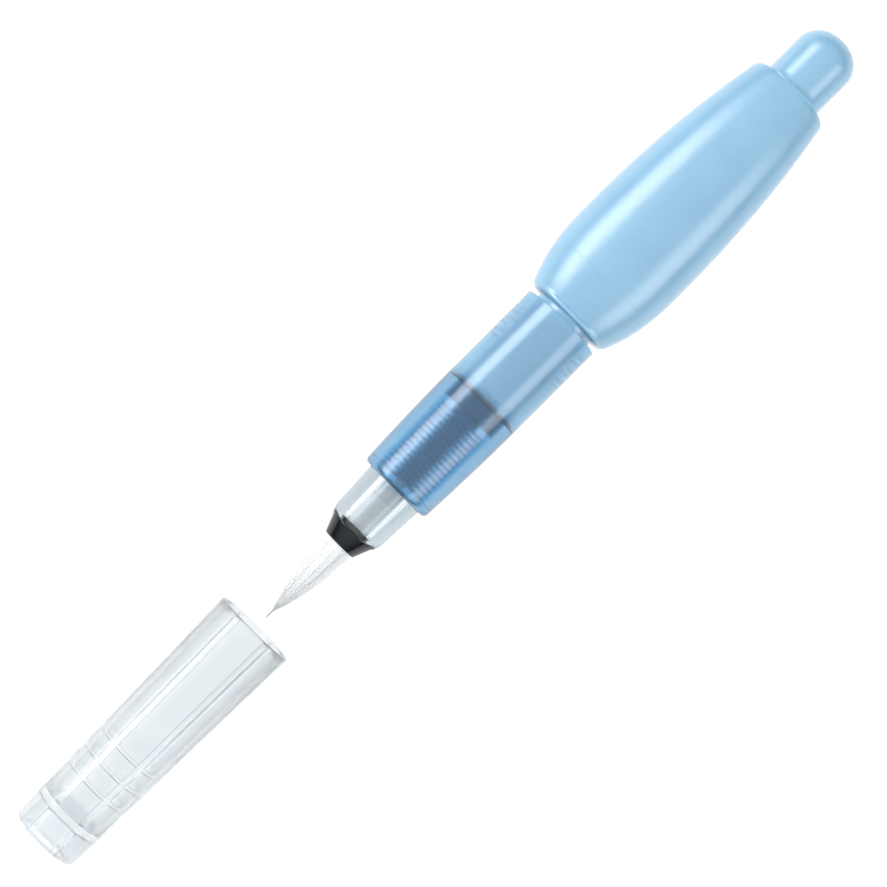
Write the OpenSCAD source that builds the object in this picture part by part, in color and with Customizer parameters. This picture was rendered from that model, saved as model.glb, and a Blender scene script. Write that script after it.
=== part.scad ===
// Refillable brush pen with a squeeze reservoir, lying on its side, its cap pulled off.
// X runs along the pen towards its tail, Y across it and Z up.
// The origin is on the table, under the middle of the pen with its cap.
// Every place named at_... is measured along the pen from the point of the bristles.

/* [Bristle tuft] */
// Length of bristle that stands out of the collar
tuft_length = 16.5; // [13:0.5:20]
// Diameter of the tuft where it leaves the collar
tuft_d = 5.4; // [4:0.1:6.5]
// Diameter of the last few bristles at the point
tuft_point_d = 0.4; // [0.2:0.1:1]
// Length of the needle-thin point
tuft_point_length = 2; // [1:0.5:4]
// Length of bristle held inside the collar and the nose
tuft_root_length = 10; // [6:0.5:11]
// How much the tuft is squeezed in, each side, by the bore that holds it
tuft_squeeze = 0.4; // [0.2:0.05:0.6]

/* [Collar] */
// Length of the collar that shows
collar_length = 3; // [2:0.25:5]
// Length of the collar's sleeve inside the nose
collar_sleeve_length = 1.1; // [0.8:0.1:2]
// Wall of the collar at its front lip
collar_lip = 0.3; // [0.2:0.05:0.5]
// Wall of the collar's sleeve inside the nose
collar_sleeve_wall = 0.7; // [0.4:0.05:0.8]
// Width of the nose's bare front face round the back of the collar
collar_step = 0.2; // [0.1:0.05:0.3]

/* [Nose] */
// Length of the nose that shows
nose_length = 9.4; // [7:0.2:13]
// Diameter of the nose at its base
nose_d = 10.6; // [8.8:0.1:12.8]
// How much the nose narrows, each side, towards its front
nose_taper = 0.45; // [0.2:0.05:0.8]
// Length and depth of the cone at the front edge of the nose
nose_cone = [1.4, 0.45];
// Depth of the shoulder that seats on the front of the grip
nose_shoulder = 0.5; // [0.3:0.05:0.8]
// Length of the nose's spigot inside the grip
nose_spigot_length = 1.6; // [1.2:0.1:3]

/* [Grip] */
// Length of the grip from its front face to the seal
chamber_length = 19.4; // [17:0.2:24]
// Wall of the grip at its front
grip_wall = 1.35; // [1:0.05:2]
// Rounding of the front edge
grip_edge_r = 0.9; // [0.4:0.1:1]
// Length of the sleeve that screws over the reservoir's neck
sleeve_length = 18; // [16:0.5:24]
// Wall of the sleeve outside its thread
sleeve_wall = 0.75; // [0.6:0.05:1.2]
// Plain length at the back of the sleeve, behind its ridge
sleeve_lip = 2; // [1.5:0.1:3]

/* [Collector] */
// Diameter of the fins
fin_d = 9.2; // [7.6:0.1:11.2]
// Distance from one fin to the next
fin_pitch = 0.88; // [0.7:0.02:1.4]
// Thickness of a fin
fin_thickness = 0.4; // [0.25:0.05:0.5]
// Room round the fins for overflow water
fin_room = 0.65; // [0.3:0.05:1]
// Room between the last fin and the plug
fin_end_room = 0.9; // [0.5:0.1:2]
// Diameter of the tube that the fins stand on
tube_d = 3.5; // [2.8:0.1:4.2]
// Height of the tube's shoulder that rests against the plug
tube_shoulder = 0.8; // [0.4:0.1:1]
// How far the tube reaches into the reservoir's neck, behind the plug
tube_reach = 5; // [3:0.5:8]
// Width of the air slot through the fins
air_slot = 0.5; // [0.3:0.1:0.8]

/* [Wick and plug] */
// Diameter of the wick inside the tube
wick_d = 1.8; // [1.4:0.1:2.2]
// Length of the wick's thick head, behind the bristles
wick_head_length = 2.4; // [1.5:0.1:3]
// Length of the plug
plug_length = 3.1; // [2:0.1:4]
// How far the plug's pilot reaches into the reservoir's neck
plug_pilot_length = 1.2; // [1:0.1:2]

/* [Seal] */
// Thickness of the rubber seal ring
seal_thickness = 0.6; // [0.4:0.1:1]

/* [Neck and thread] */
// Outside diameter of the reservoir's neck
neck_d = 11.1; // [9.2:0.1:13.4]
// Wall of the neck
neck_wall = 0.8; // [0.6:0.05:1.2]
// Rise of the thread in one turn
thread_pitch = 2.4; // [2.2:0.1:3]
// Height of a thread ridge
thread_height = 0.6; // [0.4:0.05:0.7]
// Width of a ridge at its foot and at its crest
thread_widths = [1.25, 0.65];
// Turns of the ridge on the neck
neck_turns = 3.25; // [2:0.25:3.5]
// Turns of the ridge in the sleeve
sleeve_turns = 3; // [2:0.25:3]
// Distance of the neck's ridge from the back of the sleeve
neck_ridge_back = 4.4; // [3:0.1:5]

/* [Reservoir] */
// Length of the bulb
bulb_length = 50.8; // [42:0.2:62]
// Width of the bulb at its belly
bulb_width = 20.6; // [17:0.2:25]
// Thickness of the flattened bulb at its belly
bulb_thickness = 16; // [14.4:0.2:19.4]
// Distance of the belly from the front of the bulb
belly_at = 15; // [12:0.5:20]
// Width of the bulb's tail end
bulb_tail_width = 14.9; // [13.6:0.1:17]
// How far the front of the bulb stands out from the neck, each side
bulb_front_lip = 1.95; // [1:0.05:2.5]
// Rounding of the bulb's tail edge
bulb_edge_r = 1.3; // [0.6:0.1:1.6]
// Wall of the bulb
bulb_wall = 0.9; // [0.6:0.05:1.3]
// Length of bare neck between the sleeve and the bulb
neck_gap = 1.1; // [0.6:0.1:3]
// Diameter of the tail nub, which the cap is pushed on while the pen is in use
nub_d = 10.6; // [8.8:0.1:12.4]
// Length of the tail nub
nub_length = 11.7; // [9:0.1:16]
// Height and width of the cone round the foot of the nub
nub_foot = 0.4; // [0.2:0.05:0.6]
// Rounding of the nub's end
nub_end_r = 3.9; // [2:0.1:4.2]
// Height of the nub's slightly domed end
nub_dome = 0.5; // [0.2:0.1:1]
// Diameter of the flat in the middle of the nub's end
nub_flat_d = 1.5; // [0.5:0.1:2]

/* [Cap] */
// Distance from the point of the bristles to the cap's mouth while the cap is off
cap_gap = 2.2; // [1:0.1:10]
// Room between the point of the bristles and the cap's floor while the cap is on
cap_tip_room = 11.7; // [4:0.1:15]
// Wall of the cap
cap_wall = 1.1; // [0.8:0.05:1.5]
// How much the cap narrows, each side, from its mouth to its end
cap_taper = 1.1; // [0.4:0.1:1.4]
// Thickness of the floor across the cap
cap_floor = 1.2; // [0.8:0.1:2]
// Depth of the open recess in the cap's end
cap_recess = 5.1; // [3:0.1:8]
// Rounding of the cap's end
cap_edge_r = 0.9; // [0.4:0.1:1]
// Number of ribs that grip the nose
rib_count = 6; // [4:2:8]
// Height of a rib
rib_height = 0.6; // [0.4:0.05:1]
// Width of a rib
rib_width = 1.2; // [0.8:0.1:2]
// Distance of the first stiffening ring from the floor
ring_first = 5.4; // [3:0.1:8]
// Distance from one stiffening ring to the next
ring_pitch = 3.65; // [2:0.05:5]
// Number of stiffening rings
ring_count = 3; // [0:1:4]
// Width and height of a stiffening ring
ring_size = [0.5, 0.25];

/* [Fits] */
// Gap, each side, round a piece that is pushed in and stays
push_gap = 0.03; // [0.01:0.01:0.06]
// Gap, each side, between the cap's ribs and the nose
cap_fit = 0.1; // [0.05:0.05:0.3]
// Gap between a thread's crest and the wall that it runs along
thread_gap = 0.2; // [0.15:0.05:0.3]
// Gap between the cap's mouth and the grip when the cap is on
cap_stop_gap = 0.05; // [0.02:0.01:0.2]
// Gap, each side, between the plug's pilot and the neck
pilot_gap = 0.3; // [0.2:0.05:0.5]

/* [Hidden] */

$fn = 72;
bulb_sides = 24;
overlap = 0.4;
ridge_facets = 24;
ridge_run_in = 4;
ridge_end_share = 0.1;
profile_steps = 7;

at_collar = tuft_length;
at_nose = at_collar + collar_length;
at_grip = at_nose + nose_length;
at_chamber = at_grip + nose_spigot_length;
at_seal = at_grip + chamber_length;
at_plug = at_seal - plug_length;
at_neck = at_seal + seal_thickness;
at_sleeve_end = at_seal + sleeve_length;
at_bulb = at_sleeve_end + neck_gap;
at_nub = at_bulb + bulb_length;
at_tail = at_nub + nub_length;
at_root_end = at_collar + tuft_root_length;
at_tube_end = at_seal + tube_reach;
at_sleeve_ridge = at_sleeve_end - sleeve_lip - sleeve_turns * thread_pitch;
at_neck_ridge = at_sleeve_end - neck_ridge_back - neck_turns * thread_pitch;
// Turn of the neck's ridge that puts it midway between the turns of the sleeve's ridge
ridge_phase = 180 + 360 / thread_pitch * (at_neck_ridge - at_sleeve_ridge);
fin_count = 1 + floor((at_plug - at_chamber - fin_end_room - fin_thickness) / fin_pitch);

tuft_root_d = tuft_d - 2 * tuft_squeeze;
nose_bore_d = tuft_root_d + 2 * push_gap;
nose_front_d = nose_d - 2 * nose_taper;
nose_lip_d = nose_front_d - 2 * nose_cone[1];
nose_spigot_d = nose_d - 2 * nose_shoulder;
collar_back_d = nose_lip_d - 2 * collar_step;
collar_sleeve_d = nose_bore_d + 2 * collar_sleeve_wall;
chamber_d = fin_d + 2 * fin_room;
grip_front_d = chamber_d + 2 * grip_wall;
neck_bore_d = neck_d - 2 * neck_wall;
crest_d = neck_d + 2 * thread_height;
sleeve_bore_d = crest_d + 2 * thread_gap;
sleeve_d = sleeve_bore_d + 2 * sleeve_wall;
// The pilot clears the neck and stays narrower than the plug's flange
pilot_d = min(neck_bore_d, chamber_d) - 2 * pilot_gap;
bulb_front_width = neck_d + 2 * bulb_front_lip;
bulb_flatness = bulb_thickness / bulb_width;

cap_rib_d = nose_d + 2 * cap_fit;
cap_bore_d = cap_rib_d + 2 * rib_height;
cap_d = cap_bore_d + 2 * cap_wall;
cap_bore_depth = at_grip + cap_tip_room;
cap_length = cap_bore_depth + cap_floor + cap_recess;
at_cap_mouth = -cap_gap;
at_cap_end = at_cap_mouth - cap_length;

middle_at = (at_tail + at_cap_end) / 2;
axis_height = bulb_thickness / 2;

// Stands a shape that is drawn round Z on the pen's own axis, at a place along it
module on_axis(at = 0) {
  translate([at - middle_at, 0, axis_height]) rotate([0, 90, 0]) children();
}

// A solid turned from a profile of [radius, place] points
module turned(profile) {
  on_axis() rotate_extrude() polygon(profile);
}

// A plain round rod or bore between two places
module rod(from, to, d) {
  on_axis(from) cylinder(h = to - from, d = d);
}

// Points of an arc of radius r round [x, y], from one angle to another
function arc(x, y, r, from, to, steps = profile_steps) =
  [for (i = [0:steps]) let (a = from + (to - from) * i / steps)
    [x + r * cos(a), y + r * sin(a)]];

// Radius of the tuft at a share of its length behind the needle point
function tuft_radius(share) =
  (tuft_point_d + (tuft_d - tuft_point_d) * sin(90 * pow(share, 0.8))) / 2;

// Half width of the bulb between its front and its belly, and between belly and tail
function bulb_front_r(share) =
  (bulb_width - (bulb_width - bulb_front_width) * pow(1 - share, 2.5)) / 2;
function bulb_back_r(share) =
  (bulb_width - (bulb_width - bulb_tail_width) * pow(share, 2.2)) / 2;

// Half width and place of each ring of the bulb, drawn in by a wall at every ring
function bulb_rings(wall) =
  let (tail_r = bulb_tail_width / 2 - wall, tail_at = at_nub - wall,
       edge = max(bulb_edge_r - wall, 0.2), back = at_nub - at_bulb - belly_at - bulb_edge_r)
  concat(
    [for (i = [0:profile_steps]) let (share = i / profile_steps)
      [bulb_front_r(share) - wall, at_bulb + wall + (belly_at - wall) * share]],
    [for (i = [1:profile_steps - 1]) let (share = i / profile_steps)
      [bulb_back_r(share) - wall, at_bulb + belly_at + back * share]],
    arc(tail_r - edge, tail_at - edge, edge, 0, 75, 3));

// Four corners of a screw ridge's section after i steps, lowest radius first
function ridge_ring(i, steps, foot_r, crest_r) =
  let (angle = 360 * i / ridge_facets, z = thread_pitch * i / ridge_facets,
       fade = min(1, ridge_end_share + min(i, steps - i) / ridge_run_in),
       tip_r = foot_r + (crest_r - foot_r) * fade,
       tip_w = thread_widths[0] + (thread_widths[1] - thread_widths[0]) * fade,
       foot_w = thread_widths[0],
       section = crest_r > foot_r
         ? [[foot_r, -foot_w], [tip_r, -tip_w], [tip_r, tip_w], [foot_r, foot_w]]
         : [[tip_r, -tip_w], [foot_r, -foot_w], [foot_r, foot_w], [tip_r, tip_w]])
  [for (p = section) [p[0] * cos(angle), p[0] * sin(angle), z + p[1] / 2]];

// A right-handed screw ridge round Z that fades out at both ends
module screw_ridge(foot_r, crest_r, turns) {
  steps = round(turns * ridge_facets);
  points = [for (i = [0:steps]) each ridge_ring(i, steps, foot_r, crest_r)];
  sides = [for (i = [0:steps - 1], k = [0:3])
    let (a = 4 * i + k, b = 4 * i + (k + 1) % 4) each [[a, b, b + 4], [a, b + 4, a + 4]]];
  last = 4 * steps;
  polyhedron(points, concat([[0, 2, 1], [0, 3, 2]], sides,
    [[last, last + 1, last + 2], [last, last + 2, last + 3]]));
}

// Tapered nylon bristles, welded together at the root that the nose holds
module bristle_tuft() {
  tip = [for (i = [0:12]) let (share = i / 12)
    [tuft_radius(share), tuft_point_length + (tuft_length - tuft_point_length) * share]];
  color("white")
    turned(concat([[0, 0], [tuft_point_d / 2, 0.3]], tip,
      [[tuft_root_d / 2, at_nose], [tuft_root_d / 2, at_root_end], [0, at_root_end]]));
}

// Black cone round the foot of the tuft, with a sleeve that is pushed into the nose
module tuft_collar() {
  color("black")
    turned([
      [tuft_d / 2 + push_gap, at_collar],
      [tuft_d / 2 + collar_lip, at_collar],
      [collar_back_d / 2, at_nose],
      [collar_sleeve_d / 2, at_nose],
      [collar_sleeve_d / 2, at_nose + collar_sleeve_length],
      [nose_bore_d / 2, at_nose + collar_sleeve_length],
      [nose_bore_d / 2, at_nose]]);
}

// Clear nose with a bore for the tuft and a spigot that is pushed into the grip
module brush_nose() {
  color("lightcyan")
    turned([
      [nose_bore_d / 2, at_nose + collar_sleeve_length],
      [collar_sleeve_d / 2 + push_gap, at_nose + collar_sleeve_length],
      [collar_sleeve_d / 2 + push_gap, at_nose],
      [nose_lip_d / 2, at_nose],
      [nose_front_d / 2, at_nose + nose_cone[0]],
      [nose_d / 2, at_grip],
      [nose_spigot_d / 2, at_grip],
      [nose_spigot_d / 2, at_chamber],
      [nose_bore_d / 2, at_chamber]]);
}

// Outside of the grip, swelling from its front edge into the threaded sleeve
module grip_outside() {
  swell = at_seal - at_grip - grip_edge_r;
  turned(concat(
    [[0, at_grip]],
    arc(grip_front_d / 2 - grip_edge_r, at_grip + grip_edge_r, grip_edge_r, -90, 0),
    [for (i = [1:profile_steps]) let (share = i / profile_steps)
      [(grip_front_d + (sleeve_d - grip_front_d) * sin(90 * share)) / 2,
       at_grip + grip_edge_r + swell * share]],
    [[sleeve_d / 2, at_sleeve_end], [0, at_sleeve_end]]));
}

// Smoky clear grip: a chamber for the collector and a threaded sleeve behind it
module grip_section() {
  color("lightsteelblue", 0.6) {
    difference() {
      grip_outside();
      rod(at_grip - 1, at_chamber + overlap, nose_spigot_d + 2 * push_gap);
      rod(at_chamber, at_seal + overlap, chamber_d);
      rod(at_seal, at_sleeve_end + 1, sleeve_bore_d);
    }
    on_axis(at_sleeve_ridge)
      screw_ridge(sleeve_bore_d / 2 + sleeve_wall / 2, neck_d / 2 + thread_gap, sleeve_turns);
  }
}

// Fibre rod that carries water to the bristles, with a thick head against their root
module feed_wick() {
  color("whitesmoke")
    turned([
      [0, at_root_end],
      [tuft_root_d / 2, at_root_end],
      [tuft_root_d / 2, at_root_end + wick_head_length],
      [wick_d / 2, at_root_end + wick_head_length],
      [wick_d / 2, at_tube_end],
      [0, at_tube_end]]);
}

// Comb of thin fins on a tube, which holds back water when the reservoir warms up
module finned_collector() {
  shoulder_d = tube_d + 2 * tube_shoulder;
  color("steelblue") difference() {
    union() {
      rod(at_chamber, at_tube_end, tube_d);
      rod(at_chamber + (fin_count - 1) * fin_pitch, at_plug, shoulder_d);
      for (i = [0:fin_count - 1])
        rod(at_chamber + i * fin_pitch, at_chamber + i * fin_pitch + fin_thickness, fin_d);
    }
    rod(at_chamber - 1, at_tube_end + 1, wick_d + 2 * push_gap);
    translate([at_chamber - 1 - middle_at, -air_slot / 2, 0])
      cube([fin_count * fin_pitch + 1, air_slot, axis_height - shoulder_d / 2]);
  }
}

// Dark plug that closes the chamber round the collector's tube
module valve_plug() {
  hole_d = tube_d + 2 * push_gap;
  color("midnightblue")
    turned([
      [hole_d / 2, at_plug],
      [chamber_d / 2 - push_gap, at_plug],
      [chamber_d / 2 - push_gap, at_seal],
      [pilot_d / 2, at_seal],
      [pilot_d / 2, at_neck + plug_pilot_length],
      [hole_d / 2, at_neck + plug_pilot_length]]);
}

// Rubber ring pinched between the grip's shoulder and the rim of the neck
module mouth_seal_ring() {
  color("black") difference() {
    rod(at_seal, at_neck, sleeve_bore_d - 4 * push_gap);
    rod(at_seal - 1, at_neck + 1, pilot_d + 4 * push_gap);
  }
}

// Round end of the reservoir: the tail nub, drawn in by a wall at every point
module nub(wall) {
  r = nub_d / 2 - wall;
  end = at_tail - wall;
  round_r = nub_end_r - wall;
  turned(concat(
    [[0, at_nub - bulb_edge_r - wall], [r, at_nub - bulb_edge_r - wall]],
    arc(r - round_r, end - nub_dome - round_r, round_r, 0, 80),
    [[nub_flat_d / 2, end], [0, end]]));
}

// The bulb, a skin over many-sided oval rings that stand on the middle of a side
module bulb(wall) {
  n = bulb_sides;
  rings = bulb_rings(wall);
  last = len(rings) - 1;
  points = [for (ring = rings, k = [0:n - 1])
    let (a = 360 * (k + 0.5) / n, r = ring[0] / cos(180 / n))
      [bulb_flatness * r * cos(a), r * sin(a), ring[1]]];
  skin = [for (i = [0:last - 1], k = [0:n - 1])
    let (a = i * n + k, b = i * n + (k + 1) % n) each [[a, b + n, b], [a, a + n, b + n]]];
  front = [for (k = [0:n - 1]) k];
  back = [for (k = [n - 1:-1:0]) last * n + k];
  on_axis() polyhedron(points, concat([front, back], skin));
}

// Soft squeeze reservoir: threaded neck, flattened bulb and tail nub in one hollow piece
module reservoir() {
  color("lightskyblue") {
    difference() {
      union() {
        rod(at_neck, at_bulb + bulb_edge_r + bulb_wall, neck_d);
        bulb(0);
        nub(0);
        rod(at_nub - bulb_edge_r, at_nub, nub_d + 2 * nub_foot);
        on_axis(at_nub) cylinder(h = nub_foot, d1 = nub_d + 2 * nub_foot, d2 = nub_d);
      }
      rod(at_neck - 1, at_bulb + 2 * bulb_wall, neck_bore_d);
      bulb(bulb_wall);
      nub(bulb_wall);
    }
    on_axis(at_neck_ridge)
      rotate([0, 0, ridge_phase])
        screw_ridge(neck_d / 2 - neck_wall / 2, crest_d / 2, neck_turns);
  }
}

// Everything that is hollowed out of the cap on one side of its floor
module cap_hollow(from, to, low_d, high_d) {
  long = to - from;
  difference() {
    on_axis(from) cylinder(h = long, d1 = low_d, d2 = high_d);
    difference() {
      union() {
        for (i = [0:rib_count / 2 - 1])
          on_axis(from) rotate([0, 0, 360 * i / rib_count])
            translate([-rib_width / 2, -cap_d, -1]) cube([rib_width, 2 * cap_d, long + 2]);
      }
      on_axis(from)
        cylinder(h = long, d1 = low_d - 2 * rib_height, d2 = high_d - 2 * rib_height);
    }
  }
}

// Clear cap: a tapering tube with ribs inside, a floor near its end and an open recess
module cap() {
  slope = 2 * cap_taper / cap_length;
  at_floor = at_cap_mouth - cap_bore_depth;
  end_d = cap_d - 2 * cap_taper;
  recess_d = cap_bore_d - 2 * cap_taper;
  floor_d = cap_bore_d - slope * cap_bore_depth;
  color("aliceblue", 0.5) {
    difference() {
      turned(concat(
        [[0, at_cap_end]],
        arc(end_d / 2 - cap_edge_r, at_cap_end + cap_edge_r, cap_edge_r, -90, 0),
        [[cap_d / 2, at_cap_mouth], [0, at_cap_mouth]]));
      cap_hollow(at_floor, at_cap_mouth + 0.01, floor_d, cap_bore_d);
      cap_hollow(at_cap_end - 0.01, at_floor - cap_floor, recess_d, recess_d);
    }
    for (i = [0:ring_count - 1]) {
      at = at_floor + ring_first + i * ring_pitch;
      ring_d = floor_d + slope * (at - at_floor);
      difference() {
        rod(at, at + ring_size[0], ring_d + cap_wall);
        rod(at - 1, at + ring_size[0] + 1, ring_d - 2 * ring_size[1]);
      }
    }
  }
}

bristle_tuft();
tuft_collar();
brush_nose();
grip_section();
feed_wick();
finned_collector();
valve_plug();
mouth_seal_ring();
reservoir();
cap();
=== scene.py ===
# Brush pen with a squeeze reservoir, lying on a light table with its cap pulled off.
# Lengths are in millimetres and become metres where a mesh, a light or the camera is made.
import math
import random

import bmesh
import bpy
from mathutils import Matrix, Vector


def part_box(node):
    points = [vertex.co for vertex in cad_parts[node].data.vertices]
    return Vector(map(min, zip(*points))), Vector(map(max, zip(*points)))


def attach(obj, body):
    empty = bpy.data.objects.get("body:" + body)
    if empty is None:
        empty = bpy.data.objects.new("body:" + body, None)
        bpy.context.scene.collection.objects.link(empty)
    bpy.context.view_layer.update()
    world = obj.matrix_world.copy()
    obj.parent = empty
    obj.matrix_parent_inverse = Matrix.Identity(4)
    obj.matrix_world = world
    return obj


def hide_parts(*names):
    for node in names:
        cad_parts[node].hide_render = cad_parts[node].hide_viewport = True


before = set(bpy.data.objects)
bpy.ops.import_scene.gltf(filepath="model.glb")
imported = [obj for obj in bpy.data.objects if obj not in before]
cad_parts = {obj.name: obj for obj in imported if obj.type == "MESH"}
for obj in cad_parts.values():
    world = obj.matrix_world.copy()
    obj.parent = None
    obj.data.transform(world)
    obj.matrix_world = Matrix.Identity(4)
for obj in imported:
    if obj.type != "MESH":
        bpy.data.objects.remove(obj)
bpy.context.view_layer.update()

# ---- Studio -------------------------------------------------------------------------
# The pen lies on an opal light table, which shows clear goods against an even white.
# A long soft box stands on its left, a weaker one on its right, and the room falls
# off to a dull blue-grey near the horizon, which draws the edges of the clear plastic.
MM = 0.001
scene = bpy.context.scene
cap_low, cap_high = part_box("cap")
AXIS_HEIGHT = (cap_low.z + cap_high.z) / 2 / MM


def linear(code):
    """The linear colour of an sRGB hex code, with an alpha of 1."""
    parts = [int(code[i:i + 2], 16) / 255 for i in (1, 3, 5)]
    return [p / 12.92 if p <= 0.04045 else ((p + 0.055) / 1.055) ** 2.4 for p in parts] + [1]


def add(tree, kind, settings, inputs):
    """Adds a node. An input is a plain value, or the socket that feeds it."""
    node = tree.nodes.new(kind)
    for name, value in settings.items():
        setattr(node, name, value)
    for name, value in inputs.items():
        if isinstance(value, bpy.types.NodeSocket):
            tree.links.new(value, node.inputs[name])
        else:
            node.inputs[name].default_value = value
    return node


def new_finish(name):
    """An empty material and its node tree."""
    finish = bpy.data.materials.new(name)
    finish.use_nodes = True
    finish.node_tree.nodes.clear()
    return finish, finish.node_tree


# Opal acrylic, lit from below: the eye sees an even white with a faint contact shadow.
# The lamps under it stand close together in the middle, so it dims further out.
opal_acrylic, tree = new_finish("opal_acrylic_light_table")
coords = add(tree, "ShaderNodeTexCoord", {}, {})
reach = add(tree, "ShaderNodeVectorMath", {"operation": "LENGTH"}, {
    "Vector": coords.outputs["Object"]})
lamps = add(tree, "ShaderNodeMapRange", {"interpolation_type": "SMOOTHSTEP"}, {
    "Value": reach.outputs["Value"], "From Min": 110 * MM, "From Max": 330 * MM,
    "To Min": 0.95, "To Max": 0.3})
sheet = add(tree, "ShaderNodeBsdfPrincipled", {}, {
    "Base Color": linear("#6C6E70"), "Roughness": 0.6, "Specular IOR Level": 0.1,
    "Emission Color": linear("#FFFFFF"), "Emission Strength": lamps.outputs["Result"]})
add(tree, "ShaderNodeOutputMaterial", {}, {"Surface": sheet.outputs["BSDF"]})
table_mesh = bpy.data.meshes.new("light_table")
table_half = 6.0  # metres, as the table runs out of sight
table_mesh.from_pydata([(x * table_half, y * table_half, 0)
                        for x, y in ((-1, -1), (1, -1), (1, 1), (-1, 1))], [], [(0, 1, 2, 3)])
table_mesh.materials.append(opal_acrylic)
light_table = bpy.data.objects.new("light_table", table_mesh)
scene.collection.objects.link(light_table)

world = bpy.data.worlds.new("studio_room")
scene.world = world
world.use_nodes = True
room = world.node_tree
room.nodes.clear()
way = add(room, "ShaderNodeTexCoord", {}, {})
height = add(room, "ShaderNodeSeparateXYZ", {}, {"Vector": way.outputs["Generated"]})
fall_off = add(room, "ShaderNodeValToRGB", {}, {"Fac": height.outputs["Z"]})
ramp = fall_off.color_ramp
ramp.elements[0].position = 0.0
ramp.elements[0].color = linear("#4A5661")
ramp.elements[1].position = 0.85
ramp.elements[1].color = linear("#F6F8FA")
for place, code in ((0.15, "#4F5C68"), (0.42, "#A9B4BD")):
    ramp.elements.new(place).color = linear(code)
glow = add(room, "ShaderNodeBackground", {}, {"Color": fall_off.outputs["Color"], "Strength": 1.0})
add(room, "ShaderNodeOutputWorld", {}, {"Surface": glow.outputs["Background"]})

# Each soft box: its name, its tilt from straight above towards +Y, distance, length along
# the pen, width across it, and how bright its face is
for name, tilt, distance, long, wide, brightness in (
        ("left_soft_box", 54, 500, 460, 240, 6.6),
        ("right_soft_box", -58, 500, 460, 240, 3.6)):
    lamp = bpy.data.lights.new(name, "AREA")
    lamp.shape = "RECTANGLE"
    lamp.size = long * MM
    lamp.size_y = wide * MM
    lamp.energy = brightness * math.pi * lamp.size * lamp.size_y
    box = bpy.data.objects.new(name, lamp)
    turn = math.radians(tilt)
    box.location = (0.03, distance * MM * math.sin(turn), distance * MM * math.cos(turn))
    box.rotation_euler = (-turn, 0, 0)
    scene.collection.objects.link(box)

# The camera looks almost straight down, with the pen on the rising diagonal. It stands over
# the collar and is aimed at the middle of what it takes in.
camera_height = 380
view_width = 140.6
camera_over = -12.4
view_centre = (-0.9, -0.4)
lens = bpy.data.cameras.new("camera")
lens.sensor_width = 36
lens.lens = lens.sensor_width * camera_height / view_width
camera = bpy.data.objects.new("camera", lens)
camera.location = (camera_over * MM, view_centre[1] * MM, (AXIS_HEIGHT + camera_height) * MM)
aim = Vector((view_centre[0] * MM, view_centre[1] * MM, AXIS_HEIGHT * MM)) - camera.location
look = aim.normalized()
picture_up = (Vector((1, 1, 0)) - look * look.dot(Vector((1, 1, 0)))).normalized()
picture_right = look.cross(picture_up)
camera.rotation_mode = "QUATERNION"
camera.rotation_quaternion = Matrix(
    (picture_right, picture_up, -look)).transposed().to_quaternion()
scene.collection.objects.link(camera)
scene.camera = camera
scene.view_settings.view_transform = "Standard"
# Enough for light to cross every wall of the capped pen, with reflections on the way
light_bounces = 20
scene.cycles.max_bounces = light_bounces
scene.cycles.transmission_bounces = light_bounces
scene.cycles.use_denoising = True

# ---- Bristle tuft -------------------------------------------------------------------
# White nylon bristles, ground to a needle point, and welded at the root into one plug
# that is pressed into the bore of the nose. The weld shows through the clear nose.


def span(node):
    """First and last place of a CAD node along the pen."""
    low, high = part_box(node)
    return low.x / MM, high.x / MM


def add_piece(name, points, faces, finish, body, nodes):
    """Makes a closed mesh into a piece that rides on a body and stands for CAD nodes."""
    mesh = bpy.data.meshes.new(name)
    mesh.from_pydata([(x * MM, y * MM, z * MM) for x, y, z in points], [], faces)
    work = bmesh.new()
    work.from_mesh(mesh)
    bmesh.ops.recalc_face_normals(work, faces=work.faces)
    work.to_mesh(mesh)
    work.free()
    mesh.shade_smooth()
    mesh.set_sharp_from_angle(angle=math.radians(40))
    mesh.materials.append(finish)
    piece = bpy.data.objects.new(name, mesh)
    scene.collection.objects.link(piece)
    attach(piece, body)
    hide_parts(*nodes)
    return piece


def skin(rings, loop):
    """Points and faces over rings of equally many points. In a loop the last ring meets
    the first, and otherwise a face closes each end."""
    count = len(rings[0])
    last = len(rings) if loop else len(rings) - 1
    faces = []
    for i in range(last):
        low, high = i * count, (i + 1) % len(rings) * count
        for k in range(count):
            after = (k + 1) % count
            faces.append((low + k, low + after, high + after, high + k))
    if not loop:
        faces.append(tuple(range(count)))
        faces.append(tuple(range((len(rings) - 1) * count, len(rings) * count)))
    return [point for ring in rings for point in ring], faces


def turned_rings(profile, angles, shape=None):
    """Rings round the pen's axis for a profile of (place, radius) points. Angle 0 points
    down at the table. shape(place, radius, angle) may give a point another radius."""
    rings = []
    for place, radius in profile:
        ring = []
        for angle in angles:
            r = shape(place, radius, angle) if shape else radius
            ring.append((place, r * math.sin(angle), AXIS_HEIGHT - r * math.cos(angle)))
        rings.append(ring)
    return rings


def even_angles(count):
    """Angles of evenly spaced points round a circle."""
    return [2 * math.pi * i / count for i in range(count)]


tip, root_end = span("bristle_tuft")
collar_front, collar_back = span("tuft_collar")
needle_length = 2.0
needle_d = 0.34
tuft_d = 5.4
root_d = 4.6
strand_count = 96
strand_rings = 26
strand_sides = 6
strand_overlap = 1.25
held_in_collar = 0.8
core_rings = 40
core_start = 0.15
weld_step = 0.25
out_length = collar_front - tip
draw = random.Random(7)


def tuft_radius(out):
    """Radius of the tuft at a distance from its tip."""
    if out < needle_length:
        return needle_d / 2 * (0.25 + 0.75 * out / needle_length)
    share = min(1, (out - needle_length) / (out_length - needle_length))
    return (needle_d + (tuft_d - needle_d) * math.sin(math.pi / 2 * share ** 0.8)) / 2


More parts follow.
